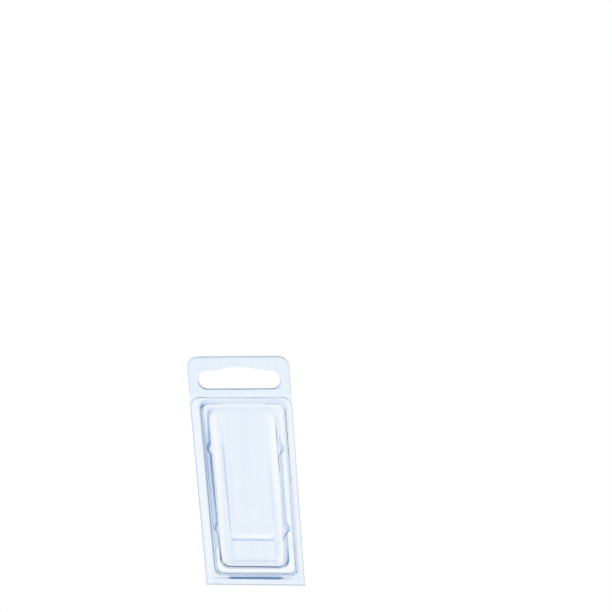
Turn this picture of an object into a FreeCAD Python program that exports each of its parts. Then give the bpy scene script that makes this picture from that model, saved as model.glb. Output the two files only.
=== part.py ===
"""Clear formed-plastic clamshell pack with a hang tab, in millimetres.

The pack hangs upright: X runs across it, +Y points behind it and +Z up. The origin is the
point on the rear face where a peg carries it, at the peak of the hang hole. Heights below
that point are called drops. Depths are measured forwards from the rear face, towards -Y.
"""
import FreeCAD, Part
import os

import Sketcher

OUTPUT_FOLDER = "parts"
TOLERANCE = 1e-4

# Sketcher's codes for the points of an edge, the sketch's origin and its vertical axis
START, END, CENTRE = range(1, 4)
ORIGIN, VERTICAL_AXIS = (-1, START), -2

SIZES = {
    # The sheet and the closed flanges
    "pack_width": 40.0,
    "sheet": 0.4,
    "closing_gap": 0.05,
    # Hang tab and hang hole
    "tab_rise": 4.2,
    "tab_corner": 4.3,
    "hole_width": 32.0,
    "hole_drop": 9.3,
    "hole_gable": 1.6,
    "hole_corner": 3.6,
    # Cover flange, crease and fold
    "cover_top_drop": 12.7,
    "cover_corner": 3.7,
    "crease_drop": 92.0,
    "crease_radius": 0.7,
    "crease_end_margin": 4.0,
    "crease_to_fold": 3.1,
    "fold_gap": 0.15,
    # Formed walls: draft in degrees, and how far they stand right of the flange's middle
    "draft": 6.0,
    "trim_offset": 1.0,
    "step_side_margin": 3.0,
    "step_top_margin": 1.3,
    "step_bottom_margin": 1.6,
    "step_height": 2.2,
    "step_corner": 3.6,
    "wall_side_margin": 6.4,
    "wall_top_margin": 2.9,
    "wall_bottom_margin": 6.7,
    "wall_height": 4.6,
    "wall_corner": 4.0,
    "face_round": 3.6,
    # Raised panel on the face, which stands right of the face's middle by its offset
    "panel_inset": 4.6,
    "panel_offset": 1.0,
    "panel_drop": 71.2,
    "panel_rise": 0.5,
    "panel_corner": 2.2,
    # Half-round lugs on the side walls
    "lug_radius": 3.2,
    "lug_reach": 0.9,
    "lug_shoulder": 2.0,
    "upper_lug_drop": 33.2,
    "lower_lug_drop": 68.0,
    # Plug of the back half, which nests inside the cover's step
    "plug_clearance": 0.3,
    "plug_head_room": 0.35,
    "plug_sag": 1.0,
    "plug_round": 0.8,
}

# Depths in front of the rear face, as expressions on the sheet
COVER_BACK = "(Sizes.sheet + Sizes.closing_gap)"
COVER_FRONT = f"({COVER_BACK} + Sizes.sheet)"
LEDGE = f"({COVER_FRONT} + Sizes.step_height)"
FACE = f"({LEDGE} + Sizes.wall_height)"
FOLD_AXIS_DEPTH = "(Sizes.sheet + Sizes.closing_gap / 2)"
PLUG_TOP = f"({LEDGE} - Sizes.sheet - Sizes.plug_head_room)"
LUG_HEIGHT = "(Sizes.wall_height - Sizes.lug_shoulder)"

# Where the cover folds over, below the crease
FOLD_DROP = "(Sizes.crease_drop + Sizes.crease_to_fold)"

# Outlines: width, top drop and bottom drop of each formed wall at its foot
STEP = (
    "(Sizes.pack_width - 2 * Sizes.step_side_margin)",
    "(Sizes.cover_top_drop + Sizes.step_top_margin)",
    "(Sizes.crease_drop - Sizes.step_bottom_margin)",
)
WALL = (
    "(Sizes.pack_width - 2 * Sizes.wall_side_margin)",
    "(Sizes.cover_top_drop + Sizes.wall_top_margin)",
    "(Sizes.crease_drop - Sizes.wall_bottom_margin)",
)
PANEL = (
    f"({WALL[0]} - 2 * Sizes.panel_inset)",
    f"({WALL[1]} + Sizes.panel_inset)",
    "Sizes.panel_drop",
)
PLUG_INSET = "(Sizes.sheet + Sizes.plug_clearance)"


def inset(outline, distance):
    """The outline moved inwards all round by a distance."""
    width, top, bottom = outline
    return (f"({width} - 2 * {distance})", f"({top} + {distance})", f"({bottom} - {distance})")


def make_sheet(doc):
    """The spreadsheet of driving dimensions, one alias a row."""
    sheet = doc.addObject("Spreadsheet::Sheet", "Sizes")
    for row, (alias, value) in enumerate(SIZES.items(), start=1):
        sheet.set(f"A{row}", alias)
        sheet.set(f"B{row}", str(value))
        sheet.setAlias(f"B{row}", alias)
    doc.recompute()
    return sheet


def value_of(part, expression):
    """The number that an expression on the sheet has now."""
    value = part.Document.Sizes.evalExpression(expression)
    return float(getattr(value, "Value", value))


def new_sketch(body, name, role, depth, centre_drop="0", centre_across="0"):
    """A sketch on one of the body's own planes, at a depth, with its centre placed."""
    plane = next(item for item in body.Origin.OriginFeatures if item.Role == role)
    sketch = body.newObject("Sketcher::SketchObject", name)
    sketch.AttachmentSupport = (plane, [""])
    sketch.MapMode = "FlatFace"
    sketch.setExpression("AttachmentOffset.Base.x", centre_across)
    sketch.setExpression("AttachmentOffset.Base.y", f"-({centre_drop})")
    sketch.setExpression("AttachmentOffset.Base.z", depth)
    return sketch


def bind(sketch, name, constraint, expression):
    """Adds a named constraint whose value follows an expression."""
    index = sketch.addConstraint(constraint)
    sketch.renameConstraint(index, name)
    sketch.setExpression(f"Constraints.{name}", expression)


def add_line(sketch, start, end):
    """A straight edge of an outline."""
    line = Part.LineSegment(FreeCAD.Vector(*start, 0), FreeCAD.Vector(*end, 0))
    return sketch.addGeometry(line, False)


def add_arc(sketch, start, middle, end):
    """A round edge through three points."""
    points = [FreeCAD.Vector(*point, 0) for point in (start, middle, end)]
    return sketch.addGeometry(Part.Arc(*points), False)


def nearest_end(sketch, index, point):
    """Which end of an edge lies nearer to a point."""
    target = FreeCAD.Vector(*point, 0)
    distances = [sketch.getPoint(index, end).distanceToPoint(target) for end in (START, END)]
    return START if distances[0] <= distances[1] else END


def join(sketch, first, second, point, smooth=True):
    """Joins two edges at the point that they share, tangent or with a corner."""
    ends = (first, nearest_end(sketch, first, point), second, nearest_end(sketch, second, point))
    sketch.addConstraint(Sketcher.Constraint("Tangent" if smooth else "Coincident", *ends))


def rounded_outline(sketch, width, height, corner, round_foot=True, sag=None):
    """A centred rectangle with rounded corners.

    The two lower corners are square if round_foot is off. With a sag the top edge is an arc
    that dips by the sag in the middle.
    """
    half_w = value_of(sketch, width) / 2
    half_h = value_of(sketch, height) / 2
    r = value_of(sketch, corner)
    foot_r = r if round_foot else 0.0
    diagonal = r * (1 - 0.5 ** 0.5)
    dip = value_of(sketch, sag) if sag else 0.0

    left_edge = add_line(sketch, (-half_w, -half_h + foot_r), (-half_w, half_h - r))
    right_edge = add_line(sketch, (half_w, half_h - r), (half_w, -half_h + foot_r))
    foot_edge = add_line(sketch, (half_w - foot_r, -half_h), (-half_w + foot_r, -half_h))
    if sag:
        top_edge = add_arc(sketch, (-half_w + r, half_h), (0, half_h - dip), (half_w - r, half_h))
    else:
        top_edge = add_line(sketch, (-half_w + r, half_h), (half_w - r, half_h))

    corners = []
    for side, edge in ((-1, left_edge), (1, right_edge)):
        arc = add_arc(sketch, (side * half_w, half_h - r),
                      (side * (half_w - diagonal), half_h - diagonal),
                      (side * (half_w - r), half_h))
        join(sketch, edge, arc, (side * half_w, half_h - r))
        join(sketch, arc, top_edge, (side * (half_w - r), half_h))
        corners.append(arc)
    for side, edge in ((-1, left_edge), (1, right_edge)):
        if not round_foot:
            join(sketch, edge, foot_edge, (side * half_w, -half_h), smooth=False)
            continue
        arc = add_arc(sketch, (side * half_w, -half_h + r),
                      (side * (half_w - diagonal), -half_h + diagonal),
                      (side * (half_w - r), -half_h))
        join(sketch, edge, arc, (side * half_w, -half_h + r))
        join(sketch, arc, foot_edge, (side * (half_w - r), -half_h))
        corners.append(arc)

    for arc in corners[1:]:
        sketch.addConstraint(Sketcher.Constraint("Equal", corners[0], arc))
    bind(sketch, "corner", Sketcher.Constraint("Radius", corners[0], r), corner)
    for edge in (left_edge, right_edge):
        sketch.addConstraint(Sketcher.Constraint("Vertical", edge))
    sketch.addConstraint(Sketcher.Constraint("Horizontal", foot_edge))
    bind(sketch, "left_half", Sketcher.Constraint("DistanceX", left_edge, START, *ORIGIN, half_w),
         f"{width} / 2")
    bind(sketch, "right_half", Sketcher.Constraint("DistanceX", *ORIGIN, right_edge, START, half_w),
         f"{width} / 2")
    bind(sketch, "foot_half", Sketcher.Constraint("DistanceY", foot_edge, START, *ORIGIN, half_h),
         f"{height} / 2")
    if sag:
        chord = f"({width} - 2 * {corner})"
        radius = f"(({chord} * {chord} / 4 + {sag} * {sag}) / (2 * {sag}))"
        rise = value_of(sketch, radius)
        bind(sketch, "sag_radius", Sketcher.Constraint("Radius", top_edge, rise), radius)
        sketch.addConstraint(Sketcher.Constraint("PointOnObject", top_edge, CENTRE, VERTICAL_AXIS))
        bind(sketch, "sag_centre",
             Sketcher.Constraint("DistanceY", *ORIGIN, top_edge, CENTRE, half_h - dip + rise),
             f"{height} / 2 - {sag} + {radius}")
    else:
        sketch.addConstraint(Sketcher.Constraint("Horizontal", top_edge))
        bind(sketch, "top_half", Sketcher.Constraint("DistanceY", *ORIGIN, top_edge, START, half_h),
             f"{height} / 2")


def flange_sketch(body, name, outline, depth, corner):
    """A trimmed edge: rounded top corners and a square foot, centred on the pack."""
    width, top, bottom = outline
    sketch = new_sketch(body, name, "XZ_Plane", depth, f"({top} + {bottom}) / 2")
    rounded_outline(sketch, width, f"({bottom} - {top})", corner, round_foot=False)
    return sketch


def formed_sketch(body, name, outline, depth, corner, sag=None, offset="Sizes.trim_offset"):
    """The foot of a formed wall, rounded all round and moved across by an offset."""
    width, top, bottom = outline
    sketch = new_sketch(body, name, "XZ_Plane", depth, f"({top} + {bottom}) / 2", offset)
    rounded_outline(sketch, width, f"({bottom} - {top})", corner, sag=sag)
    return sketch


def pad(body, name, sketch, length, tapered=False):
    """Material added forwards of the sketch, narrowing by the draft if it is tapered."""
    feature = body.newObject("PartDesign::Pad", name)
    feature.Profile = sketch
    feature.setExpression("Length", length)
    if tapered:
        feature.setExpression("TaperAngle", "-Sizes.draft")
    return feature


def round_rim(body, name, feature, depth, radius):
    """Rounds the edges of a feature that lie wholly at one depth."""
    body.Document.recompute()
    level = -value_of(body, depth)
    edges = [
        f"Edge{number}"
        for number, edge in enumerate(feature.Shape.Edges, start=1)
        if all(abs(vertex.Y - level) < TOLERANCE for vertex in edge.Vertexes)
    ]
    fillet = body.newObject("PartDesign::Fillet", name)
    fillet.Base = (feature, edges)
    fillet.setExpression("Radius", radius)
    return fillet


def hang_hole_sketch(body):
    """The wide hang hole: a flat lower edge, round ends and a gabled upper edge.

    The upper edge is a crown arc through the hang point that runs on each side into a
    shoulder arc of the same radius, which meets the round end level.
    """
    sketch = new_sketch(body, "hole_outline", "XZ_Plane", "0")
    half = value_of(sketch, "Sizes.hole_width") / 2
    drop = value_of(sketch, "Sizes.hole_drop")
    fall = value_of(sketch, "Sizes.hole_gable")
    r = value_of(sketch, "Sizes.hole_corner")
    run = half - r
    bend = (run * run + fall * fall) / (4 * fall)
    quarter_fall = bend - (bend * bend - run * run / 16) ** 0.5
    diagonal = r * (1 - 0.5 ** 0.5)

    foot = add_line(sketch, (-run, -drop), (run, -drop))
    crown = add_arc(sketch, (-run / 2, -fall / 2), (0, 0), (run / 2, -fall / 2))
    sketch.addConstraint(Sketcher.Constraint("Horizontal", foot))
    sketch.addConstraint(Sketcher.Constraint("PointOnObject", crown, CENTRE, VERTICAL_AXIS))
    sketch.addConstraint(Sketcher.Constraint("PointOnObject", *ORIGIN, crown))
    bind(sketch, "drop", Sketcher.Constraint("DistanceY", foot, START, *ORIGIN, drop),
         "Sizes.hole_drop")
    corners = []
    for side, name in ((-1, "left"), (1, "right")):
        shoulder = add_arc(sketch, (side * run / 2, -fall / 2),
                           (side * run * 3 / 4, -fall + quarter_fall), (side * run, -fall))
        upper = add_arc(sketch, (side * run, -fall),
                        (side * (half - diagonal), -fall - diagonal), (side * half, -fall - r))
        flank = add_line(sketch, (side * half, -fall - r), (side * half, -drop + r))
        lower = add_arc(sketch, (side * half, -drop + r),
                        (side * (half - diagonal), -drop + diagonal), (side * run, -drop))
        join(sketch, crown, shoulder, (side * run / 2, -fall / 2))
        join(sketch, shoulder, upper, (side * run, -fall))
        join(sketch, upper, flank, (side * half, -fall - r))
        join(sketch, flank, lower, (side * half, -drop + r))
        join(sketch, lower, foot, (side * run, -drop))
        sketch.addConstraint(Sketcher.Constraint("Vertical", flank))
        sketch.addConstraint(Sketcher.Constraint("Equal", crown, shoulder))
        shoulder_foot = nearest_end(sketch, shoulder, (side * run, -fall))
        bind(sketch, f"{name}_fall",
             Sketcher.Constraint("DistanceY", shoulder, shoulder_foot, *ORIGIN, fall),
             "Sizes.hole_gable")
        ends = (flank, START, *ORIGIN) if side < 0 else (*ORIGIN, flank, START)
        bind(sketch, f"{name}_half", Sketcher.Constraint("DistanceX", *ends, half),
             "Sizes.hole_width / 2")
        corners += [upper, lower]
    for arc in corners[1:]:
        sketch.addConstraint(Sketcher.Constraint("Equal", corners[0], arc))
    bind(sketch, "corner", Sketcher.Constraint("Radius", corners[0], r), "Sizes.hole_corner")
    return sketch


def lug_sketch(body, name, depth, shrink):
    """Four circles, two on each side wall, that stand out of it by the lug's reach."""
    sketch = new_sketch(body, name, "XZ_Plane", depth, centre_across="Sizes.trim_offset")
    reach = f"({WALL[0]} / 2 + Sizes.lug_reach - Sizes.lug_radius)"
    radius = f"(Sizes.lug_radius - {shrink})"
    for label, drop in (("upper", "Sizes.upper_lug_drop"), ("lower", "Sizes.lower_lug_drop")):
        for side, flank in ((-1, "left"), (1, "right")):
            x = side * value_of(sketch, reach)
            y = -value_of(sketch, drop)
            r = value_of(sketch, radius)
            circle = Part.Circle(FreeCAD.Vector(x, y, 0), FreeCAD.Vector(0, 0, 1), r)
            index = sketch.addGeometry(circle, False)
            across = (index, CENTRE, *ORIGIN) if side < 0 else (*ORIGIN, index, CENTRE)
            bind(sketch, f"{label}_{flank}_reach",
                 Sketcher.Constraint("DistanceX", *across, abs(x)), reach)
            bind(sketch, f"{label}_{flank}_drop",
                 Sketcher.Constraint("DistanceY", index, CENTRE, *ORIGIN, -y), drop)
            bind(sketch, f"{label}_{flank}_radius",
                 Sketcher.Constraint("Radius", index, r), radius)
    return sketch


def half_round_sketch(body, name, radius):
    """A half disc that bulges forwards from the cover's rear plane, across the crease."""
    sketch = new_sketch(body, name, "YZ_Plane", "0", "Sizes.crease_drop", f"-{COVER_BACK}")
    r = value_of(sketch, radius)
    chord = add_line(sketch, (0, -r), (0, r))
    bulge = add_arc(sketch, (0, r), (-r, 0), (0, -r))
    join(sketch, chord, bulge, (0, r), smooth=False)
    join(sketch, chord, bulge, (0, -r), smooth=False)
    sketch.addConstraint(Sketcher.Constraint("Coincident", bulge, CENTRE, *ORIGIN))
    sketch.addConstraint(Sketcher.Constraint("Vertical", chord))
    bind(sketch, "radius", Sketcher.Constraint("Radius", bulge, r), radius)
    return sketch


def bar(body, name, sketch, length):
    """Material that runs the same length to both sides of the pack's middle."""
    feature = pad(body, name, sketch, length)
    feature.Midplane = True
    return feature


def hollowed(doc, name, form, core):
    """The formed sheet: a form with its core taken out."""
    piece = doc.addObject("Part::Cut", name)
    piece.Label = name
    piece.Base = form
    piece.Tool = core
    return piece


def fold_sketch(body):
    """The round section of the fold, as thick as the two closed flanges."""
    sketch = new_sketch(body, "fold_outline", "YZ_Plane", "0", FOLD_DROP,
                        f"-{FOLD_AXIS_DEPTH}")
    radius = value_of(sketch, FOLD_AXIS_DEPTH)
    circle = Part.Circle(FreeCAD.Vector(0, 0, 0), FreeCAD.Vector(0, 0, 1), radius)
    index = sketch.addGeometry(circle, False)
    sketch.addConstraint(Sketcher.Constraint("Coincident", index, CENTRE, *ORIGIN))
    bind(sketch, "radius", Sketcher.Constraint("Radius", index, radius), FOLD_AXIS_DEPTH)
    return sketch


def add_plug(body, outline, depth, corner, edge_round):
    """A raised plug with a dipping top edge and a rounded rim."""
    height = f"({PLUG_TOP} - Sizes.sheet)"
    sketch = formed_sketch(body, "plug_outline", outline, depth, corner, sag="Sizes.plug_sag")
    plug = pad(body, "plug", sketch, height, tapered=True)
    round_rim(body, "plug_rim", plug, f"({depth} + {height})", edge_round)


def make_back_half(doc):
    """Flat back with the hang tab, a raised plug and the rounded fold along its foot."""
    form = doc.addObject("PartDesign::Body", "back_form")
    plate = ("Sizes.pack_width", "(-Sizes.tab_rise)", FOLD_DROP)
    pad(form, "back_plate", flange_sketch(form, "back_outline", plate, "0", "Sizes.tab_corner"),
        "Sizes.sheet")
    plug = inset(STEP, PLUG_INSET)
    plug_corner = f"(Sizes.step_corner - {PLUG_INSET})"
    add_plug(form, plug, "Sizes.sheet", plug_corner, "Sizes.plug_round")
    bar(form, "fold", fold_sketch(form), "Sizes.pack_width")

    core = doc.addObject("PartDesign::Body", "back_core")
    add_plug(core, inset(plug, "Sizes.sheet"), "0", f"({plug_corner} - Sizes.sheet)",
             "(Sizes.plug_round - Sizes.sheet)")
    hole = doc.addObject("PartDesign::Body", "hang_hole")
    pad(hole, "hang_hole_punch", hang_hole_sketch(hole), "Sizes.sheet")
    return hollowed(doc, "back_half", hollowed(doc, "back_shell", form, core), hole)


def add_cover_walls(body, shrink, step_foot, step_length):
    """The step, the rounded main wall, the panel and the lugs, all inset by the same shrink.

    Each level of the form has a level of the core one sheet behind it.
    """
    ledge = f"({LEDGE} - {shrink})"
    face = f"({FACE} - {shrink})"
    step = formed_sketch(body, "step_outline", inset(STEP, shrink), step_foot,
                         f"(Sizes.step_corner - {shrink})")
    pad(body, "step", step, step_length, tapered=True)
    wall = pad(body, "wall", formed_sketch(body, "wall_outline", inset(WALL, shrink), ledge,
                                           f"(Sizes.wall_corner - {shrink})"),
               "Sizes.wall_height", tapered=True)
    round_rim(body, "face_rim", wall, face, f"(Sizes.face_round - {shrink})")
    panel = formed_sketch(body, "panel_outline", inset(PANEL, shrink), face,
                          f"(Sizes.panel_corner - {shrink})",
                          offset="Sizes.trim_offset + Sizes.panel_offset")
    pad(body, "panel", panel, "Sizes.panel_rise", tapered=True)
    pad(body, "lugs", lug_sketch(body, "lug_outline", ledge, shrink), LUG_HEIGHT, tapered=True)


def make_front_cover(doc):
    """Hinged cover: flange, outer step, main wall with four lugs, rounded face and panel."""
    form = doc.addObject("PartDesign::Body", "cover_form")
    foot = f"({FOLD_DROP} - {FOLD_AXIS_DEPTH} - Sizes.fold_gap)"
    flange = ("Sizes.pack_width", "Sizes.cover_top_drop", foot)
    pad(form, "flange",
        flange_sketch(form, "flange_outline", flange, COVER_BACK, "Sizes.cover_corner"),
        "Sizes.sheet")
    add_cover_walls(form, "0", COVER_FRONT, "Sizes.step_height")
    crease_length = "(Sizes.pack_width - 2 * Sizes.crease_end_margin)"
    bar(form, "crease", half_round_sketch(form, "crease_outline", "Sizes.crease_radius"),
        crease_length)

    core = doc.addObject("PartDesign::Body", "cover_core")
    add_cover_walls(core, "Sizes.sheet", COVER_BACK, "Sizes.step_height")
    groove = doc.addObject("PartDesign::Body", "crease_core")
    bar(groove, "crease_groove",
        half_round_sketch(groove, "crease_groove_outline", "(Sizes.crease_radius - Sizes.sheet)"),
        f"({crease_length} - 2 * Sizes.sheet)")
    return hollowed(doc, "front_cover", hollowed(doc, "cover_shell", form, core), groove)


def check(doc, pieces):
    """Stops if any object failed or any piece isn't one valid solid."""
    for item in doc.Objects:
        if "Invalid" in item.State or "Error" in item.State:
            raise RuntimeError(f"{item.Name} failed: {item.State}")
    for piece in pieces:
        shape = piece.Shape
        if shape.isNull() or not shape.isValid() or len(shape.Solids) != 1:
            raise RuntimeError(f"{piece.Label} is not one valid solid")


def main():
    doc = FreeCAD.newDocument("clamshell_pack")
    make_sheet(doc)
    pieces = [make_back_half(doc), make_front_cover(doc)]
    doc.recompute()
    check(doc, pieces)
    os.makedirs(OUTPUT_FOLDER, exist_ok=True)
    for piece in pieces:
        piece.Shape.exportStep(os.path.join(OUTPUT_FOLDER, f"{piece.Label}.step"))
        print(piece.Label, round(piece.Shape.Volume, 1), piece.Shape.BoundBox)


main()
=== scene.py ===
"""Clear formed-plastic clamshell pack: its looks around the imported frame, in metres.

Shapes are worked out in millimetres, as rings of points round the pack at a depth in front of
the rear face, and turned into metres where they become a mesh.
"""

import math

import bmesh
import bpy
import numpy as np
from mathutils import Matrix, Vector


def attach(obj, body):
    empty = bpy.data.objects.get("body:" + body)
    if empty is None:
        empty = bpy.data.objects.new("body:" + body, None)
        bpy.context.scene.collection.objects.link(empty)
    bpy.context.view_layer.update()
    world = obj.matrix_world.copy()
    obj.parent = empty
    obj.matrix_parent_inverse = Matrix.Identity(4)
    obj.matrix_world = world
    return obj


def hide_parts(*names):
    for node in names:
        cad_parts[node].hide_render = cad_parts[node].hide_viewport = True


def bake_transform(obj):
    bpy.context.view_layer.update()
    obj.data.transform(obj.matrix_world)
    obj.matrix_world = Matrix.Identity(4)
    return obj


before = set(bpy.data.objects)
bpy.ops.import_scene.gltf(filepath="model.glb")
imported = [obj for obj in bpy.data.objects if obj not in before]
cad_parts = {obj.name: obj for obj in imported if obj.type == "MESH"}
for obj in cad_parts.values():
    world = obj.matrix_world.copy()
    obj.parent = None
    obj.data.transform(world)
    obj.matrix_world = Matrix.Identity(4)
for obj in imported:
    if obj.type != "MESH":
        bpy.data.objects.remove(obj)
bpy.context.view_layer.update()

# A millimetre in metres
MILLIMETRE = 0.001

# Sizes in millimetres, after the CAD's: levels from the hang hole's peak, and depths in front of
# the rear face
SHEET = 0.4
CLOSING_GAP = 0.05
HALF_WIDTH = 20.0
COVER_TOP = -12.7
CREASE_LEVEL = -92.0
CREASE_HALF = 16.0
CREASE_TO_FOLD = 3.1
WALL_MIDDLE = 1.0
STEP_HEIGHT = 2.2
STEP_DRAFT = 0.23
WALL_HEIGHT = 4.6
PANEL_MIDDLE = 2.0
PANEL_INSET = 4.6
PANEL_RISE = 0.5
PANEL_SLOPE = 0.6
PANEL_FOOT_SLOPE = 1.7
LUG_LEVELS = (-33.2, -68.0)
LUG_RADIUS = 3.2
LUG_CENTRE = 11.3
PLUG_CLEARANCE = 0.3
PLUG_HEAD_ROOM = 0.35
PLUG_DRAFT = 0.2
PLUG_SAG = 1.0
HOLE_GABLE = 1.6

# The fold, and where the two sheets stop just above it
FOLD_LEVEL = CREASE_LEVEL - CREASE_TO_FOLD
FOLD_RADIUS = SHEET + CLOSING_GAP / 2
FOLD_SHEET = 0.37
FOLD_GAP = 0.02
SHEET_END = FOLD_LEVEL + FOLD_GAP

# How far forward each level face stands
FLANGE_DEPTH = SHEET + CLOSING_GAP + SHEET
LEDGE_DEPTH = FLANGE_DEPTH + STEP_HEIGHT
FACE_DEPTH = LEDGE_DEPTH + WALL_HEIGHT
PANEL_DEPTH = FACE_DEPTH + PANEL_RISE
PLUG_DEPTH = LEDGE_DEPTH - SHEET - PLUG_HEAD_ROOM

# The rounded rectangles that the sheets are formed round. The step and the wall keep margins
# inside the cover's flange, and WALL_TOP is the wall at the face, drawn in by its draft
TAB = {"middle": 0.0, "half": HALF_WIDTH, "top": 4.2, "foot": -12.0, "corner": 4.3,
       "foot_corner": 0.0}
HOLE = {"middle": 0.0, "half": 16.0, "top": -HOLE_GABLE, "foot": -9.3, "corner": 3.6}
PLATE = {"middle": 0.0, "half": HALF_WIDTH, "top": TAB["foot"], "foot": SHEET_END, "corner": 0.0}
FLANGE = {"middle": 0.0, "half": HALF_WIDTH, "top": COVER_TOP, "foot": SHEET_END, "corner": 3.7,
          "foot_corner": 0.0}
STEP = {"middle": WALL_MIDDLE, "half": HALF_WIDTH - 3.0, "top": COVER_TOP - 1.3,
        "foot": CREASE_LEVEL + 1.6, "corner": 3.6}
WALL = {"middle": WALL_MIDDLE, "half": HALF_WIDTH - 6.4, "top": COVER_TOP - 2.9,
        "foot": CREASE_LEVEL + 6.7, "corner": 4.0}
WALL_TOP = {"middle": WALL_MIDDLE, "half": 13.117, "top": -16.08, "foot": -84.82, "corner": 3.52}
PANEL = {"middle": PANEL_MIDDLE, "half": WALL["half"] - PANEL_INSET,
         "top": WALL["top"] - PANEL_INSET, "foot": -71.1, "corner": 2.4}

# Points along the foot and top, each side and each corner of every ring
ACROSS = 44
ALONG = 112
ROUND = 9

# The sheet's tints: white for its painted highlights and paler parts, its pale and even cast, and
# a blue and a dark for its painted shade lines
HIGHLIGHT_AND_CLEAR_TINT = (1.0, 1.0, 1.0, 1)
PALE_TINT = (0.86, 0.91, 0.975, 1)
EVEN_TINT = (0.76, 0.85, 0.955, 1)
PAINTED_SHADE_TINT = (0.11, 0.32, 0.68, 1)
DEEP_PAINTED_SHADE_TINT = (0.03, 0.08, 0.20, 1)

# Its pale shadow, and the surroundings
SHADOW_TINT = (0.90, 0.93, 0.96, 1)
WHITE = (1, 1, 1, 1)
SKY = (0.16, 0.30, 0.60, 1)

# The photograph's viewpoint, from a fit to the pack's outline: its place in metres and its
# turn, downward tilt and roll in degrees
CAMERA_PLACE = (0.13411, -0.66974, 0.28325)
CAMERA_TURN = 9.0
CAMERA_TILT = 20.876
CAMERA_ROLL = -3.854
PHOTO_WIDTH = 612.0
FOCAL_LENGTH_IN_PIXELS = 1917.5
SENSOR_WIDTH = 36.0


# Rings and sheets

def eased(share):
    """A ramp from 0 to 1 that is level at both ends: three squares of the share less two cubes."""
    return share * share * (3 - 2 * share)


def side_stations():
    """Where a ring's side points lie, from 0 at the foot to 1 at the top.

    They crowd round the four lugs: the density is 1 plus a bell at each lug's level, and the
    stations are equal steps of its running sum.
    """
    crowding, spread = 2.5, 3.0
    samples = 2001
    share = np.linspace(0, 1, samples)
    level = FOLD_LEVEL + share * (STEP["top"] - FOLD_LEVEL)
    density = 1 + sum(crowding * np.exp(-((level - lug) / spread) ** 2) for lug in LUG_LEVELS)
    total = np.concatenate([[0], np.cumsum((density[1:] + density[:-1]) / 2)])
    return np.interp(np.linspace(0, total[-1], ALONG + 1), total, share)[:-1]


def inset(sizes, by, foot_by=None):
    """The sizes of a ring that lies inside another, by the same distance but at the foot."""
    return {**sizes, "half": sizes["half"] - by, "top": sizes["top"] - by,
            "foot": sizes["foot"] + (by if foot_by is None else foot_by),
            "corner": sizes["corner"] - by}


def ring(middle, half, top, foot, corner, foot_corner=None):
    """Points round a rectangle with rounded corners, as x and z, anticlockwise from lower left.

    Straight runs join quarter circles. Every ring has the same number of points in each part,
    so that rings of different size can be joined point to point.
    """
    low = corner if foot_corner is None else foot_corner
    across = np.linspace(0, 1, ACROSS, endpoint=False)
    along = side_stations()
    turn = np.linspace(0, math.pi / 2, ROUND, endpoint=False)

    def run(start, end, share):
        return np.outer(1 - share, start) + np.outer(share, end)

    def quarter(centre_x, centre_z, radius, start):
        return np.stack([centre_x + radius * np.cos(start + turn),
                         centre_z + radius * np.sin(start + turn)], axis=1)

    left, right = middle - half, middle + half
    return np.concatenate([
        run((left + low, foot), (right - low, foot), across),
        quarter(right - low, foot + low, low, -math.pi / 2),
        run((right, foot + low), (right, top - corner), along),
        quarter(right - corner, top - corner, corner, 0.0),
        run((right - corner, top), (left + corner, top), across),
        quarter(left + corner, top - corner, corner, math.pi / 2),
        run((left, top - corner), (left, foot + low), 1 - np.append(along[1:], 1.0)[::-1]),
        quarter(left + low, foot + low, low, math.pi),
    ])


def lifted(points, depth):
    """A ring as x, y and z, at a depth in front of the rear face."""
    return np.stack([points[:, 0], np.full(len(points), -depth), points[:, 1]], axis=1)


def corner_arc(before, corner, after, radius):
    """Where the arc that rounds a corner starts and ends, and the weight of the corner in it.

    The arc starts at the radius times the tangent of half the turn from the corner, or at 0.45
    of the shorter run if that is less. The corner weighs the cosine of half the turn.
    """
    span = np.linalg.norm(corner - before, axis=1, keepdims=True)
    reach = np.linalg.norm(after - corner, axis=1, keepdims=True)
    back = (before - corner) / np.maximum(span, 1e-9)
    ahead = (after - corner) / np.maximum(reach, 1e-9)
    cosine = np.clip((back * ahead).sum(axis=1, keepdims=True), -1, 1)
    half_turn = (math.pi - np.arccos(cosine)) / 2
    length = np.minimum(radius * np.tan(half_turn), 0.45 * np.minimum(span, reach))
    return corner + back * length, corner + ahead * length, np.cos(half_turn)


def straight_rows(start, end, steps):
    """Rows of points at equal shares of the way from one ring to another."""
    return start + (end - start) * np.linspace(0, 1, steps + 1)[:, None, None]


def arc_rows(start, corner, end, weight, steps):
    """Rows of points along a circle's arc, written as a parabola whose corner has a weight."""
    turn = np.linspace(0, 1, steps + 1)[:, None, None]
    pull = 2 * weight * turn * (1 - turn)
    blend = (1 - turn) ** 2 + pull + turn ** 2
    return ((1 - turn) ** 2 * start + pull * corner + turn ** 2 * end) / blend


def swept(levels, radii, counts):
    """Rows of points from one ring to the next, with every bend between them rounded.

    Each column is a path through its point on each ring: a straight run, an arc at the next
    ring, and so on to the last. A wider bend has more rows, 3 for each millimetre of its radius
    up to 2.5 mm, and 3 besides.
    """
    rows = []
    last = levels[0]
    for index in range(1, len(levels) - 1):
        before, corner, after = levels[index - 1:index + 2]
        start, end, weight = corner_arc(before, corner, after, radii[index])
        bend_steps = 3 + int(round(3 * min(radii[index], 2.5)))
        rows.append(straight_rows(last, start, counts[index - 1])[:-1])
        rows.append(arc_rows(start, corner, end, weight, bend_steps)[:-1])
        last = end
    rows.append(straight_rows(last, levels[-1], counts[-1]))
    return np.concatenate(rows)


def spine(middle, half, top, foot, depth):
    """The line that a ring closes to: every point moved to the middle, short of both ends."""
    flat = ring(middle, half, top, foot, 0.001)
    flat[:, 1] = np.clip(flat[:, 1], foot + half, top - half)
    flat[:, 0] = middle
    return lifted(flat, depth)


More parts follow.
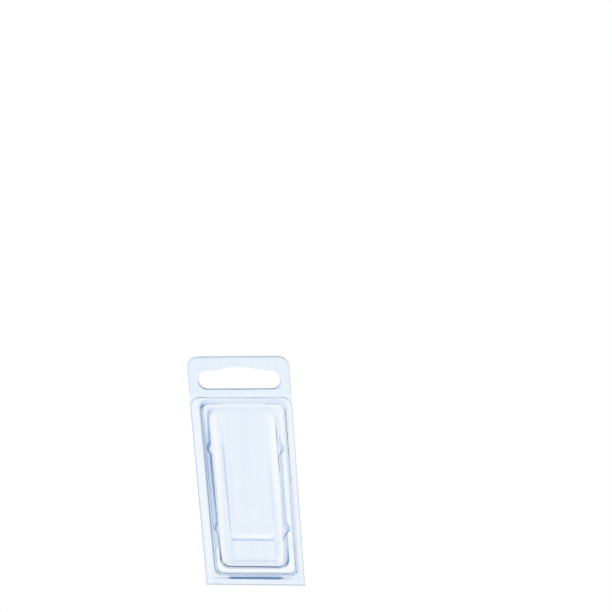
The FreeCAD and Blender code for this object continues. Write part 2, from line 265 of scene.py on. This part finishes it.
def grid_faces(rows, columns, offset=0):
    """Quads between neighbouring rows of closed rings, seen anticlockwise from the front."""
    row, column = np.meshgrid(np.arange(rows - 1), np.arange(columns), indexing="ij")
    after = (column + 1) % columns
    low = offset + row * columns
    high = low + columns
    return np.stack([low + column, low + after, high + after, high + column],
                    axis=-1).reshape(-1, 4)


def round_the_ring(foot, lower_right, right, upper_right, top, upper_left, left, lower_left):
    """One value for each point of a ring: level along the foot, the top and most of each side,
    and a value of its own in the middle of each corner, joined by straight ramps.

    A side's ramps run up 0.08 of it from the foot and down 0.16 of it from the top.
    """
    low, high = 0.08 * ALONG, 0.16 * ALONG
    parts = np.cumsum([0, ACROSS, ROUND / 2, ROUND / 2 + low, ALONG - low - high,
                       high + ROUND / 2, ROUND / 2, ACROSS, ROUND / 2, ROUND / 2 + high,
                       ALONG - low - high, low + ROUND / 2, ROUND / 2])
    values = [foot, foot, lower_right, right, right, upper_right, top, top, upper_left,
              left, left, lower_left, foot]
    return np.interp(np.arange(2 * ACROSS + 2 * ALONG + 4 * ROUND), parts, values)


def drawn(points, levels, marks):
    """Painted shade above zero and painted highlight below zero, point by point.

    Each mark is a band beside the ring at a (fractional) place in the levels: its strength times
    a bell of the distance from that ring over the band's width. The bands add up.
    """
    total = np.zeros(points.shape[:2])
    for place, width, strengths in marks:
        low = min(int(place), len(levels) - 2)
        middle = levels[low] + (levels[low + 1] - levels[low]) * (place - low)
        away = np.linalg.norm(points - middle, axis=2) / width
        total += round_the_ring(*strengths) * np.exp(-away ** 2)
    return total


def made_paler(marks, by):
    """Marks less a share wherever no painted dark line is, so that the sheet is paler there: the
    share fades to nothing where a mark reaches a third."""
    return marks - by * np.clip(1 - 3 * np.maximum(marks, 0), 0, 1)


def mesh_object(name, points, faces, painted_light_and_paleness=None):
    """A mesh from points in millimetres, its doubles merged and its normals left as wound."""
    mesh = bpy.data.meshes.new(name)
    mesh.from_pydata((points * MILLIMETRE).tolist(), [], faces.tolist())
    if painted_light_and_paleness is not None:
        # The painted shade and highlight marks, and the paler sheet, as a point attribute
        layer = mesh.attributes.new("painted_light_and_paleness", "FLOAT", "POINT")
        layer.data.foreach_set("value", painted_light_and_paleness.ravel().astype(np.float32))
    work = bmesh.new()
    work.from_mesh(mesh)
    bmesh.ops.remove_doubles(work, verts=work.verts, dist=2e-6)
    bmesh.ops.dissolve_degenerate(work, edges=work.edges, dist=1e-7)
    work.to_mesh(mesh)
    work.free()
    piece = bpy.data.objects.new(name, mesh)
    bpy.context.scene.collection.objects.link(piece)
    return piece


def thickened(piece, thickness):
    """The sheet's thickness added behind the surface, its cut edges kept crisp."""
    solidify = piece.modifiers.new("thickness", "SOLIDIFY")
    solidify.thickness = thickness * MILLIMETRE
    solidify.offset = -1.0
    solidify.use_even_offset = True
    solidify.use_quality_normals = True
    bpy.context.view_layer.update()
    depsgraph = bpy.context.evaluated_depsgraph_get()
    solid = bpy.data.meshes.new_from_object(piece.evaluated_get(depsgraph))
    piece.modifiers.clear()
    piece.data = solid
    solid.shade_smooth()
    solid.set_sharp_from_angle(angle=math.radians(50))
    return piece


def crease(points):
    """Raises the flange along the crease: a half wave across it that fades at both ends."""
    height, half_width, fade = 0.3, 0.75, 1.2
    across = np.clip(np.abs(points[..., 2] - CREASE_LEVEL) / half_width, 0, 1)
    ends = eased(np.clip((CREASE_HALF - np.abs(points[..., 0])) / fade, 0, 1))
    raised = points.copy()
    raised[..., 1] -= height * np.cos(across * math.pi / 2) ** 2 * ends
    return raised


def crease_mark(points):
    """The painted shade line of the crease, on the flange alone: a flat-topped bell across it that
    fades to a faint line towards its ends."""
    middle, half_length, fade = 0.4, 12.5, 3.0
    half_width, faint, strong = 0.62, 0.08, 0.87
    across = np.exp(-((points[..., 2] - CREASE_LEVEL) / half_width) ** 4)
    ends = eased(np.clip((half_length - np.abs(points[..., 0] - middle)) / fade, 0, 1))
    on_flange = -points[..., 1] < 1.0
    return across * (faint + strong * ends) * on_flange


def window_mark(points):
    """A faint painted shade line in a rounded frame on the face, below the panel: a bell of the
    distance from its edge, whose corners are quarter circles."""
    middle, half_across, half_up, corner = -75.7, 7.6, 3.3, 1.4
    strength, half_width = 0.24, 0.5
    away_x = np.abs(points[..., 0] - PANEL_MIDDLE) - half_across
    away_z = np.abs(points[..., 2] - middle) - half_up
    edge = (np.hypot(np.maximum(away_x, 0), np.maximum(away_z, 0))
            + np.minimum(np.maximum(away_x, away_z), 0) - corner)
    on_face = -points[..., 1] > 5.0
    return strength * np.exp(-(edge / half_width) ** 2) * on_face


def lug_arc(drop):
    """How far a lug's circle reaches from the wall's middle, at a height over its centre."""
    return LUG_CENTRE + np.sqrt(np.maximum(LUG_RADIUS ** 2 - drop ** 2, 0))


def with_lugs(points):
    """Swells the walls out to the lug circles, in full at the ledge and fading to the shoulder.

    The swelling starts inside the wall's foot, is whole at the wall, and ends on the ledge.
    """
    ledge, shoulder, fade = 3.0, 5.9, 1.6
    inner_out, ramp, wall_out, outer_out = 11.0, 1.5, 13.5, 15.6
    swollen = points.copy()
    side = np.sign(points[..., 0] - WALL_MIDDLE)
    out = np.abs(points[..., 0] - WALL_MIDDLE)
    depth = -points[..., 1]
    low_down = eased(np.clip((shoulder - depth) / fade, 0, 1)) * (depth > ledge)
    near_wall = np.clip((out - inner_out) / ramp, 0, 1) * np.clip(outer_out - out, 0, 1)
    for level in LUG_LEVELS:
        drop = points[..., 2] - level
        reach = np.maximum(lug_arc(drop) - wall_out, 0) * (np.abs(drop) < LUG_RADIUS)
        swollen[..., 0] += side * reach * low_down * near_wall
    return swollen


def lug_marks(points):
    """A painted shade line round the lower half of each lug, stronger on the right of the wall and
    on the lower pair. It is a bell of the distance from the lug's circle."""
    half_width, right_strength, left_strength = 0.35, 0.8, 0.4
    upper_share, lower_share = 0.5, 1.0
    past_centre, above_centre, ledge = 0.6, 0.3, 3.0
    total = np.zeros(points.shape[:2])
    out = np.abs(points[..., 0] - WALL_MIDDLE)
    strength = np.where(points[..., 0] > WALL_MIDDLE, right_strength, left_strength)
    outside = (out > LUG_CENTRE + past_centre) * (-points[..., 1] > ledge)
    for level, share in zip(LUG_LEVELS, (upper_share, lower_share)):
        drop = points[..., 2] - level
        away = np.abs(np.hypot(out - LUG_CENTRE, drop) - LUG_RADIUS) / half_width
        lower = np.clip(above_centre - drop / LUG_RADIUS, 0, 1)
        total += share * strength * lower * outside * np.exp(-away ** 2)
    return total


def cover_sheet():
    """The hinged cover: flange, step, ledge, wall with lugs, rounded face and raised panel."""
    panel_top = inset(PANEL, PANEL_SLOPE, foot_by=PANEL_FOOT_SLOPE)
    levels = [
        lifted(ring(**FLANGE), FLANGE_DEPTH),
        lifted(ring(**STEP), FLANGE_DEPTH),
        lifted(ring(**inset(STEP, STEP_DRAFT)), LEDGE_DEPTH),
        lifted(ring(**WALL), LEDGE_DEPTH),
        lifted(ring(**WALL_TOP), FACE_DEPTH),
        lifted(ring(**PANEL), FACE_DEPTH),
        lifted(ring(**panel_top), PANEL_DEPTH),
        spine(PANEL_MIDDLE, panel_top["half"], panel_top["top"], panel_top["foot"], PANEL_DEPTH),
    ]
    # The bend's radius at each ring, and the rows on each straight run between them. The bend at
    # the wall's top comes out tighter than its 3.6, because its runs are short
    radii = [0, 0.55, 0.75, 1.5, 3.6, 1.6, 1.6, 0]
    counts = [26, 3, 8, 12, 24, 1, 8]
    # Bands of painted shade (above zero) and painted highlight (below zero): each one's place
    # among the levels, its width, and its strength at the foot, lower right, right, upper right,
    # top, upper left, left and lower left
    marks = [
        # The painted shade line of the cut edge and the painted highlight on the middle of the
        # flange
        (0.0, 0.40, (0.20, 0.25, 0.38, 0.34, 0.50, 0.44, 0.50, 0.70)),
        (0.5, 1.10, (0.0, 0.0, -0.6, -0.2, 0.0, 0.0, -1.6, 0.0)),
        # Painted shade lines at the step's foot and its top, and a painted highlight on the ledge
        # inside it
        (1.0, 0.70, (0.40, 0.34, 0.20, 0.24, 0.10, 0.50, 0.80, 0.30)),
        (2.05, 0.50, (0.06, 0.06, 0.16, 0.26, 0.42, 0.80, 0.50, 0.0)),
        (2.6, 1.10, (-1.2, -1.2, -0.4, -0.4, -0.6, -0.2, 0.30, -1.0)),
        # Painted shade at the wall's foot and in the bands on its way up
        (3.0, 0.90, (2.00, 1.50, 0.70, 0.06, 0.0, 0.70, 0.95, 3.00)),
        (3.4, 0.70, (1.40, 0.80, 0.30, 0.0, 0.0, 0.0, 0.36, 1.20)),
        (3.9, 0.90, (0.26, 0.40, 0.36, 0.0, 0.0, 0.0, 0.12, 0.80)),
        # A painted highlight on the bend at the wall's top, painted shade at the panel's foot, and
        # a painted highlight at the panel's foot end
        (4.3, 1.80, (0.0, -0.8, -1.0, -0.6, 0.0, -0.7, -1.1, -0.8)),
        (5.0, 0.80, (0.20, 0.14, 0.22, 0.0, 0.0, 0.0, 0.34, 0.20)),
        (6.0, 0.90, (-1.0, -0.5, 0.0, 0.0, 0.0, 0.0, 0.0, -0.4)),
    ]
    points = swept(levels, radii, counts)
    change = (drawn(points, levels, marks) + lug_marks(points) + crease_mark(points)
              + window_mark(points))
    # Outside the painted dark lines the sheet is made paler, most on the flange, and the
    # difference fades out between depths of 1 and 2 mm
    flange_share = np.clip(2 + points[..., 1], 0, 1)
    change = made_paler(change, 0.35 + 0.35 * flange_share)
    points = with_lugs(crease(points))
    faces = grid_faces(len(points), points.shape[1])
    return thickened(mesh_object("cover_sheet", points.reshape(-1, 3), faces, change), SHEET)


def gabled(points):
    """Lifts the hole's upper edge to its peak: a crown arc that runs into two shoulder arcs."""
    run = HOLE["half"] - HOLE["corner"]
    bend = (run ** 2 + HOLE_GABLE ** 2) / (4 * HOLE_GABLE)
    across = np.abs(points[:, 0])
    crown = HOLE_GABLE - (bend - np.sqrt(bend ** 2 - np.minimum(across, run / 2) ** 2))
    shoulder = bend - np.sqrt(bend ** 2 - np.clip(run - across, 0, run / 2) ** 2)
    rise = np.where(across < run / 2, crown, shoulder)
    lifted_points = points.copy()
    on_top = points[:, 1] > HOLE["top"] - 1e-6
    lifted_points[:, 1] += np.where(on_top, rise, 0)
    return lifted_points


def sagging(sizes):
    """A ring whose top edge dips in the middle, by a parabola from corner to corner."""
    points = ring(**sizes)
    across = np.clip(np.abs(points[:, 0] - WALL_MIDDLE) / (sizes["half"] - sizes["corner"]), 0, 1)
    on_top = points[:, 1] > sizes["top"] - 1e-6
    points[:, 1] -= np.where(on_top, PLUG_SAG * (1 - across ** 2), 0)
    return points


def back_sheet():
    """The flat back with its hang tab and hole, and the raised plug that the cover fits over.

    The tab is a ring-to-ring patch round the hole, and the rest is one round the plug. They
    share the points of the line between them.
    """
    tab_levels = [lifted(ring(**TAB), SHEET), lifted(gabled(ring(**HOLE)), SHEET)]
    plug_foot = inset(STEP, SHEET + PLUG_CLEARANCE)
    plug_top = inset(plug_foot, PLUG_DRAFT)
    # The plug closes to a line that stays clear of its dipped edge
    plate_levels = [
        lifted(ring(**PLATE), SHEET),
        lifted(sagging(plug_foot), SHEET),
        lifted(sagging(plug_top), PLUG_DEPTH),
        spine(WALL_MIDDLE, half=15.0, top=-16.0, foot=plug_top["foot"], depth=PLUG_DEPTH),
    ]
    tab = swept(tab_levels, radii=[0, 0], counts=[6])
    plate = swept(plate_levels, radii=[0, 0.45, 0.8, 0], counts=[8, 4, 14])
    columns = tab.shape[1]
    points = np.concatenate([tab.reshape(-1, 3), plate.reshape(-1, 3)])
    faces = np.concatenate([grid_faces(len(tab), columns),
                            grid_faces(len(plate), columns, offset=tab.shape[0] * columns)])
    # Bands of painted shade as on the cover: the tab's cut edge and the hole's edge, then the
    # plate's own edge, the plug's foot and the plug's top
    tab_marks = [
        (0.0, 0.35, (0.0, 0.0, 0.20, 0.10, 0.40, 0.20, 0.24, 0.0)),
        (1.0, 0.34, (1.10, 0.55, 0.06, 0.0, 0.0, 0.0, 0.06, 0.55)),
    ]
    plate_marks = [
        (0.0, 0.30, (0.06, 0.06, 0.10, 0.0, 0.0, 0.0, 0.16, 0.10)),
        (1.0, 0.50, (0.06, 0.06, 0.08, 0.08, 0.08, 0.10, 0.10, 0.06)),
        (2.0, 0.60, (0.0, 0.0, 0.0, 0.06, 0.14, 0.08, 0.0, 0.0)),
    ]
    # The plug is thinner than the plate that it was drawn out of
    plate_share, rise_start, rise = 0.4, 0.5, 1.2
    plug_share = np.clip(plate_share + (-plate[..., 1] - rise_start) / rise, plate_share, 1)
    plate_change = made_paler(drawn(plate, plate_levels, plate_marks), 0.6 * plug_share)
    change = np.concatenate([drawn(tab, tab_levels, tab_marks).ravel(), plate_change.ravel()])
    return thickened(mesh_object("back_sheet", points, faces, change), SHEET)


def fold_strip():
    """The sheet's turn at the foot: a half circle about the fold's axis, carried across."""
    turns, strips = 16, 40
    turn = np.linspace(0, math.pi, turns + 1)
    across = np.linspace(-HALF_WIDTH, HALF_WIDTH, strips + 1)
    depth = FOLD_RADIUS - FOLD_RADIUS * np.cos(turn)
    level = FOLD_LEVEL - FOLD_RADIUS * np.sin(turn)
    points = np.stack([
        np.repeat(across[None], turns + 1, axis=0),
        np.repeat(-depth[:, None], strips + 1, axis=1),
        np.repeat(level[:, None], strips + 1, axis=1),
    ], axis=-1)
    row, column = np.meshgrid(np.arange(turns), np.arange(strips), indexing="ij")
    low = row * (strips + 1) + column
    high = low + strips + 1
    faces = np.stack([low, low + 1, high + 1, high], axis=-1).reshape(-1, 4)
    return thickened(mesh_object("fold_strip", points.reshape(-1, 3), faces), FOLD_SHEET)


# Materials

class Socket:
    """A shader socket that arithmetic works on: an operator adds its Math node."""

    def __init__(self, shader, socket):
        self.shader = shader
        self.socket = socket

    def maths(self, operation, first, second):
        return self.shader.node("ShaderNodeMath", {"operation": operation}, {0: first, 1: second})

    def __add__(self, other):
        return self.maths("ADD", self, other)

    __radd__ = __add__

    def __sub__(self, other):
        return self.maths("SUBTRACT", self, other)

    def __rsub__(self, other):
        return self.maths("SUBTRACT", other, self)

    def __mul__(self, other):
        return self.maths("MULTIPLY", self, other)

    __rmul__ = __mul__

    def maximum(self, other):
        return self.maths("MAXIMUM", self, other)


class Shader:
    """A material or world's node tree, with one way to add a node."""

    def __init__(self, tree):
        self.tree = tree
        tree.nodes.clear()

    def node(self, kind, settings=(), inputs=(), output=0):
        """Adds a node, sets it up, and gives the output asked for (an output node has none)."""
        added = self.tree.nodes.new(kind)
        for name, value in dict(settings).items():
            setattr(added, name, value)
        for name, value in dict(inputs).items():
            if isinstance(value, Socket):
                self.tree.links.new(value.socket, added.inputs[name])
            else:
                added.inputs[name].default_value = value
        return Socket(self, added.outputs[output]) if added.outputs else None

    def mix_colour(self, share, first, second):
        """A share of the way from one colour to another."""
        return self.node("ShaderNodeMix", {"data_type": "RGBA"}, {0: share, 6: first, 7: second},
                         output=2)

    def stretched(self, place, scale):
        """Places scaled along each axis, so that a pattern on them is drawn out."""
        return self.node("ShaderNodeMapping", inputs={"Vector": place, "Scale": scale})

    def noise(self, place, scale, detail, roughness):
        """Soft noise from 0 to 1, with a number of waves in a metre."""
        return self.node("ShaderNodeTexNoise", inputs={
            "Vector": place, "Scale": scale, "Detail": detail, "Roughness": roughness})

    def light_path(self, name):
        """1 for one kind of ray and 0 for all others."""
        return self.node("ShaderNodeLightPath", output=name)

    def finish(self, surface, kind="ShaderNodeOutputMaterial"):
        """Sends the finished surface to the output."""
        self.node(kind, inputs={"Surface": surface})


def new_material(name):
    """An empty material and the shader that fills it."""
    material = bpy.data.materials.new(name)
    material.use_nodes = True
    return material, Shader(material.node_tree)


def clear_sheet_material():
    """Clear glossy sheet with a faint blue cast, painted shade and highlight marks and a slow
    waviness.

    The cast is a cloudy pattern with streaks up the pack. It turns blue and then dark along the
    painted shade lines at the bends and edges, and white along the painted highlights and where
    the sheet is made paler. Lamps shine through, so that the shadow is pale.
    """
    material, shader = new_material("clear_sheet")
    place = shader.node("ShaderNodeTexCoord", output="Object")
    cloud = shader.noise(place, 90.0, detail=2.0, roughness=0.5)
    fine_lines = shader.noise(shader.stretched(place, (900.0, 900.0, 60.0)), 1.0, detail=3.0,
                              roughness=0.6)
    streaks = shader.noise(shader.stretched(place, (420.0, 420.0, 14.0)), 1.0, detail=2.0,
                           roughness=0.5)
    change = shader.node("ShaderNodeAttribute", {"attribute_name": "painted_light_and_paleness"},
                         output="Fac")
    colour = shader.mix_colour(cloud * 0.5 + streaks * 1.6 - 0.55, EVEN_TINT, PALE_TINT)
    # Painted shade, blue then dark, where the marks stand above zero; painted highlight and paler
    # sheet, white, where they stand below zero
    colour = shader.mix_colour(change.maximum(0.0), colour, PAINTED_SHADE_TINT)
    colour = shader.mix_colour((change * 1.6 - 0.8).maximum(0.0), colour, DEEP_PAINTED_SHADE_TINT)
    colour = shader.mix_colour((0 - change).maximum(0.0), colour, HIGHLIGHT_AND_CLEAR_TINT)
    bump = shader.node("ShaderNodeBump", inputs={
        "Strength": 0.12, "Distance": 0.0004, "Height": cloud + fine_lines * 0.15})
    plastic = shader.node("ShaderNodeBsdfPrincipled", inputs={
        "Base Color": colour, "Roughness": 0.015 + fine_lines * 0.05, "IOR": 1.5,
        "Transmission Weight": 1.0, "Normal": bump})
    pale = shader.node("ShaderNodeBsdfTransparent", inputs={"Color": SHADOW_TINT})
    lamps = shader.light_path("Is Shadow Ray").maximum(shader.light_path("Is Diffuse Ray"))
    shader.finish(shader.node("ShaderNodeMixShader", inputs={0: lamps, 1: plastic, 2: pale}))
    return material


def backdrop_material():
    """White paper that reads as pure white to the camera and through the clear sheet."""
    material, shader = new_material("white_paper")
    place = shader.node("ShaderNodeTexCoord", output="Object")
    grain = shader.node("ShaderNodeTexNoise", inputs={"Vector": place, "Scale": 400.0})
    colour = shader.mix_colour(grain, (0.86, 0.86, 0.86, 1), (0.90, 0.90, 0.90, 1))
    paper = shader.node("ShaderNodeBsdfPrincipled", inputs={
        "Base Color": colour, "Roughness": 0.9, "Specular IOR Level": 0.0})
    glow = shader.node("ShaderNodeEmission", inputs={"Color": WHITE, "Strength": 1.0})
    seen = shader.light_path("Is Camera Ray").maximum(
        shader.light_path("Is Transmission Ray")).maximum(shader.light_path("Is Glossy Ray"))
    shader.finish(shader.node("ShaderNodeMixShader", inputs={0: seen, 1: paper, 2: glow}))
    return material


# The pack on its CAD bodies

def build_pack():
    """The two sheets, each on its CAD body, and the fold between them."""
    clear = clear_sheet_material()
    back = back_sheet()
    cover = cover_sheet()
    fold = fold_strip()
    for piece in (back, cover, fold):
        piece.data.materials.clear()
        piece.data.materials.append(clear)
    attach(back, "back")
    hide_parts("back_half")
    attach(cover, "cover")
    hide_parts("front_cover")
    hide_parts("back_half")
    # The strip bends from the back's sheet to the cover's flange, at the fold's level
    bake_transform(fold)
    # The solids behind the sheets, out of sight, have the same plastic
    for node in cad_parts.values():
        node.data.materials.clear()
        node.data.materials.append(clear)


# Backdrop, lamps and camera

def build_backdrop():
    """A floor that curves up into a wall: a quarter circle between two straight runs."""
    front, wall_place, bend, half_width = -0.45, 0.75, 0.25, 0.85
    floor_level, top = -0.215, 0.75
    turn = np.linspace(-math.pi / 2, 0, 13)
    run = np.concatenate([[front], wall_place - bend + bend * np.cos(turn), [wall_place]])
    rise = np.concatenate([[floor_level], floor_level + bend + bend * np.sin(turn), [top]])
    across = np.array([-half_width, half_width])
    points = np.stack([
        np.repeat(across[None], len(run), axis=0),
        np.repeat(run[:, None], 2, axis=1),
        np.repeat(rise[:, None], 2, axis=1),
    ], axis=-1).reshape(-1, 3)
    row = np.arange(len(run) - 1) * 2
    faces = np.stack([row, row + 1, row + 3, row + 2], axis=-1)
    mesh = bpy.data.meshes.new("backdrop")
    mesh.from_pydata(points.tolist(), [], faces.tolist())
    mesh.shade_smooth()
    mesh.materials.append(backdrop_material())
    piece = bpy.data.objects.new("backdrop", mesh)
    bpy.context.scene.collection.objects.link(piece)


def add_softbox(name, place, target, size, power):
    """A large square lamp that looks at a point, and isn't seen in or through the sheet."""
    light = bpy.data.lights.new(name, "AREA")
    light.shape = "SQUARE"
    light.size = size
    light.energy = power
    lamp = bpy.data.objects.new(name, light)
    lamp.visible_glossy = False
    lamp.visible_transmission = False
    lamp.location = place
    lamp.rotation_euler = (Vector(target) - Vector(place)).to_track_quat("-Z", "Y").to_euler()
    bpy.context.scene.collection.objects.link(lamp)


def build_lamps():
    """The key at the upper left and a weaker fill at the right, both aimed at the pack."""
    pack_middle = (0, 0, -0.05)
    add_softbox("key_light", (-0.55, -0.55, 0.75), pack_middle, 0.5, 9.0)
    add_softbox("fill_light", (0.75, -0.35, 0.35), pack_middle, 0.5, 5.0)


def build_world():
    """White to the camera, through the sheet and in its gloss, and a dim sky for the rest."""
    world = bpy.data.worlds.new("studio")
    world.use_nodes = True
    bpy.context.scene.world = world
    shader = Shader(world.node_tree)
    sky = shader.node("ShaderNodeBackground", inputs={"Color": SKY, "Strength": 0.6})
    white = shader.node("ShaderNodeBackground", inputs={"Color": WHITE, "Strength": 1.0})
    seen = shader.light_path("Is Camera Ray").maximum(
        shader.light_path("Is Transmission Ray")).maximum(
        shader.light_path("Is Glossy Ray") * 0.8)
    shader.finish(shader.node("ShaderNodeMixShader", inputs={0: seen, 1: sky, 2: white}),
                  kind="ShaderNodeOutputWorld")


def build_camera():
    """The photograph's viewpoint: the camera is rolled, tilted and then turned about Z."""
    data = bpy.data.cameras.new("camera")
    data.sensor_width = SENSOR_WIDTH
    data.lens = FOCAL_LENGTH_IN_PIXELS * SENSOR_WIDTH / PHOTO_WIDTH
    data.clip_start = 0.01
    data.clip_end = 20.0
    camera = bpy.data.objects.new("camera", data)
    camera.matrix_world = (Matrix.Translation(CAMERA_PLACE)
                           @ Matrix.Rotation(math.radians(CAMERA_TURN), 4, "Z")
                           @ Matrix.Rotation(math.radians(90.0 - CAMERA_TILT), 4, "X")
                           @ Matrix.Rotation(math.radians(CAMERA_ROLL), 4, "Z"))
    bpy.context.scene.collection.objects.link(camera)
    bpy.context.scene.camera = camera


bpy.context.scene.view_settings.view_transform = "Standard"
build_camera()
build_pack()
build_backdrop()
build_world()
build_lamps()
